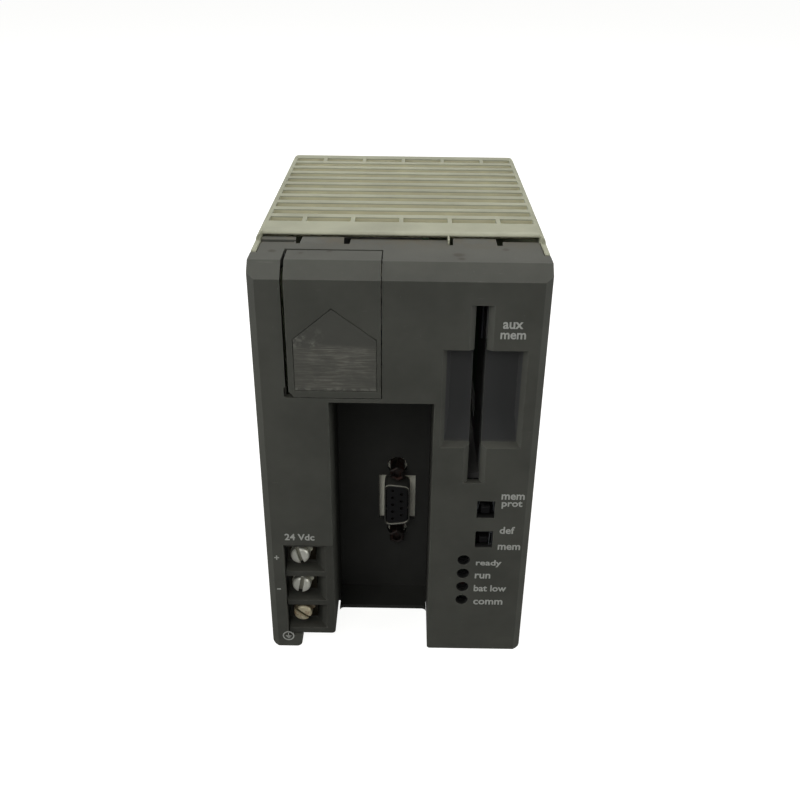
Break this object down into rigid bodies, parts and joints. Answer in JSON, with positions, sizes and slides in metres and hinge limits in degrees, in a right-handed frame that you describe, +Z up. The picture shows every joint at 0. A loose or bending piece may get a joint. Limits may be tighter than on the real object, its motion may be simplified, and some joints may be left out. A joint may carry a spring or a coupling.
{
  "type": "plc module",
  "caption": "Compact controller module: louvred rear case, dark front bezel, flip-up battery door, card slot, serial socket in a well, slide switches, lamps and screw terminals.",
  "frame": {"origin": "centre of the footprint on the surface the module stands on", "axes": "+Z up, front bezel faces -Y, +X to the right when looking at the front"},
  "size_m": [0.08, 0.1116, 0.1324],
  "materials": {
    "case": "fine moulded texture, aged beige",
    "bezel": "fine moulded texture, warm dark grey",
    "label": "worn and scratched film",
    "black": "black moulding",
    "plated": "zinc or nickel plate, slightly yellowed",
    "brass": "tinned or bare brass",
    "board": "solder-masked laminate",
    "aluminium": "extruded",
    "lens_green": "unlit tinted lamp",
    "lens_red": "unlit tinted lamp",
    "sleeve": "shrink sleeve"
  },
  "bodies": {
    "housing": {"rear_case": "case", "front_bezel": "bezel", "door_hinge_pin": "plated", "battery_holder": "black", "battery_cell": "sleeve", "battery_contact": "plated", "battery_spring": "plated", "terminal_block": "bezel", "port_well": "bezel", "port_shell": "plated", "port_insulator": "black", "port_jackscrew_upper": "plated", "port_jackscrew_lower": "plated", "card_guide": "black", "card_connector": "black", "memory_board": "board", "protect_switch_body": "black", "start_switch_body": "black", "led_holder": "black", "led_ready": "lens_green", "led_run": "lens_green", "led_battery_low": "lens_red", "led_comm": "lens_green", "indicator_board": "board", "main_board": "board", "power_board": "board", "cpu_chip": "black", "rom_chip": "black", "ram_chip": "black", "capacitor_1": "sleeve", "capacitor_2": "sleeve", "supply_transformer": "plated", "heat_sink": "aluminium", "bus_connector": "black", "terminal_strip_1": "brass", "terminal_strip_2": "brass", "terminal_strip_3": "brass", "board_spacer_1": "black", "board_spacer_2": "black", "board_spacer_3": "black", "board_spacer_4": "black"},
    "battery_door": {"battery_door": "bezel", "door_label": "label"},
    "protect_switch_slider": {"protect_switch_slider": "black"},
    "start_switch_slider": {"start_switch_slider": "black"},
    "terminal_clamp_1": {"terminal_clamp_1": "plated"},
    "terminal_screw_1": {"terminal_screw_1": "plated"},
    "terminal_clamp_2": {"terminal_clamp_2": "plated"},
    "terminal_screw_2": {"terminal_screw_2": "plated"},
    "terminal_clamp_3": {"terminal_clamp_3": "plated"},
    "terminal_screw_3": {"terminal_screw_3": "plated"}
  },
  "joints": [
    {"name": "battery_door_flip", "type": "hinge", "parent": "housing", "child": "battery_door", "pos_m": [-0.01775, -0.0446, 0.1289], "axis": [-1, 0, 0], "range_deg": [0, 100]},
    {"name": "protect_switch_slide", "type": "slide", "parent": "housing", "child": "protect_switch_slider", "axis": [0, 0, 1], "range_m": [0, 0.0024]},
    {"name": "start_switch_slide", "type": "slide", "parent": "housing", "child": "start_switch_slider", "axis": [0, 0, 1], "range_m": [0, 0.0024]},
    {"name": "terminal_clamp_1_lift", "type": "slide", "parent": "housing", "child": "terminal_clamp_1", "axis": [0, -1, 0], "range_m": [0, 0.002]},
    {"name": "terminal_screw_1_turn", "type": "hinge", "parent": "terminal_clamp_1", "child": "terminal_screw_1", "pos_m": [-0.03005, -0.0515, 0.03465], "axis": [0, -1, 0], "range_deg": [0, 1200]},
    {"name": "terminal_clamp_2_lift", "type": "slide", "parent": "housing", "child": "terminal_clamp_2", "axis": [0, -1, 0], "range_m": [0, 0.002]},
    {"name": "terminal_screw_2_turn", "type": "hinge", "parent": "terminal_clamp_2", "child": "terminal_screw_2", "pos_m": [-0.03005, -0.0515, 0.02315], "axis": [0, -1, 0], "range_deg": [0, 1200]},
    {"name": "terminal_clamp_3_lift", "type": "slide", "parent": "housing", "child": "terminal_clamp_3", "axis": [0, -1, 0], "range_m": [0, 0.002]},
    {"name": "terminal_screw_3_turn", "type": "hinge", "parent": "terminal_clamp_3", "child": "terminal_screw_3", "pos_m": [-0.03005, -0.0515, 0.01165], "axis": [0, -1, 0], "range_deg": [0, 1200]}
  ],
  "couplings": [
    {"joint": "terminal_screw_1_turn", "follows": "terminal_clamp_1_lift", "rad_per_m": 10472},
    {"joint": "terminal_screw_2_turn", "follows": "terminal_clamp_2_lift", "rad_per_m": 10472},
    {"joint": "terminal_screw_3_turn", "follows": "terminal_clamp_3_lift", "rad_per_m": 10472}
  ]
}
